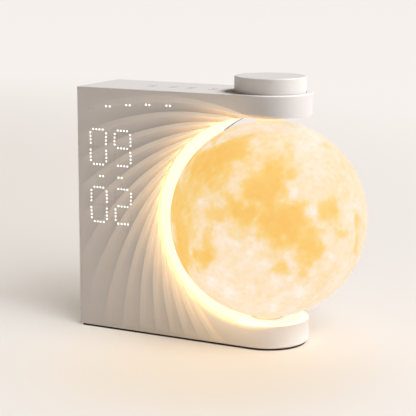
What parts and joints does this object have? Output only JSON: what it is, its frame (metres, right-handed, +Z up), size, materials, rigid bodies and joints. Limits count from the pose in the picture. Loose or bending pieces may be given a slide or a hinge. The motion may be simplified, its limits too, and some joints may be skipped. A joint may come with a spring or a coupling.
{
  "type": "moon phase desk clock",
  "caption": "Slab-shaped desk clock with swirling carved fins, a dotted digit display and a round bay that holds a glowing moon globe, with a push-and-turn dial on top.",
  "frame": {"origin": "on the surface the clock stands on, below the upright axis that the globe and the dial share", "axes": "+X along the front face from that axis to the open side of the bay, +Y from the front face to the back, +Z up"},
  "size_m": [0.1754, 0.1172, 0.1594],
  "materials": {
    "shell": "fine-grained warm off-white moulding",
    "cover": "fine-grained warm off-white moulding",
    "dial": "smooth matt",
    "foot": "matt dark",
    "diffuser": "milky, lit from behind",
    "globe": "thin translucent, lit from inside",
    "bush": "smooth",
    "steel": "plain",
    "brass": "plain",
    "alloy": "satin",
    "board": "solder mask",
    "chip": "moulded",
    "led": "lit",
    "baffle": "matt black",
    "foam": "conductive foam",
    "holder": "moulded",
    "cone": "pressed paper",
    "magnet": "plated"
  },
  "bodies": {
    "housing": {"main_shell": "shell", "rear_cover": "cover", "cover_screws": "steel", "foot_pad": "foot", "bay_diffuser": "diffuser", "bay_light_strip": "board", "bay_leds": "led", "display_baffle": "baffle", "display_board": "board", "display_leds": "led", "display_screws": "steel", "indicator_board": "board", "indicator_leds": "led", "indicator_screws": "steel", "touch_board": "board", "touch_pads": "foam", "touch_screws": "steel", "main_board": "board", "main_chips": "chip", "board_screws": "steel", "usb_socket": "steel", "backup_cell": "steel", "cell_holder": "holder", "speaker_gasket": "foam", "speaker_frame": "holder", "speaker_magnet": "magnet", "speaker_cone": "cone", "speaker_screws": "steel", "encoder_body": "alloy", "encoder_washer": "steel", "encoder_nut": "brass", "encoder_board": "board", "encoder_screws": "steel", "click_dome": "steel", "lamp_post": "alloy", "post_nut": "brass", "lamp_core": "alloy", "lamp_strips": "board", "lamp_leds": "led", "upper_pivot": "alloy", "pivot_nut": "brass"},
    "globe": {"globe_shell": "globe", "globe_lower_bush": "bush", "globe_upper_bush": "bush"},
    "dial_rotor": {"encoder_rotor": "holder"},
    "dial": {"dial_cap": "dial", "dial_insert": "brass", "encoder_shaft": "alloy"}
  },
  "joints": [
    {"name": "globe_turn", "type": "hinge", "parent": "housing", "child": "globe", "pos_m": [0, 0, 0.0746], "axis": [0, 0, 1], "continuous": true},
    {"name": "dial_turn", "type": "hinge", "parent": "housing", "child": "dial_rotor", "pos_m": [0, 0, 0.15], "axis": [0, 0, 1], "continuous": true},
    {"name": "dial_press", "type": "slide", "parent": "dial_rotor", "child": "dial", "axis": [0, 0, -1], "range_m": [0, 0.0007], "stiffness_N_per_m": 1500, "springref_m": -0.0004, "deforming": ["click_dome"]}
  ]
}
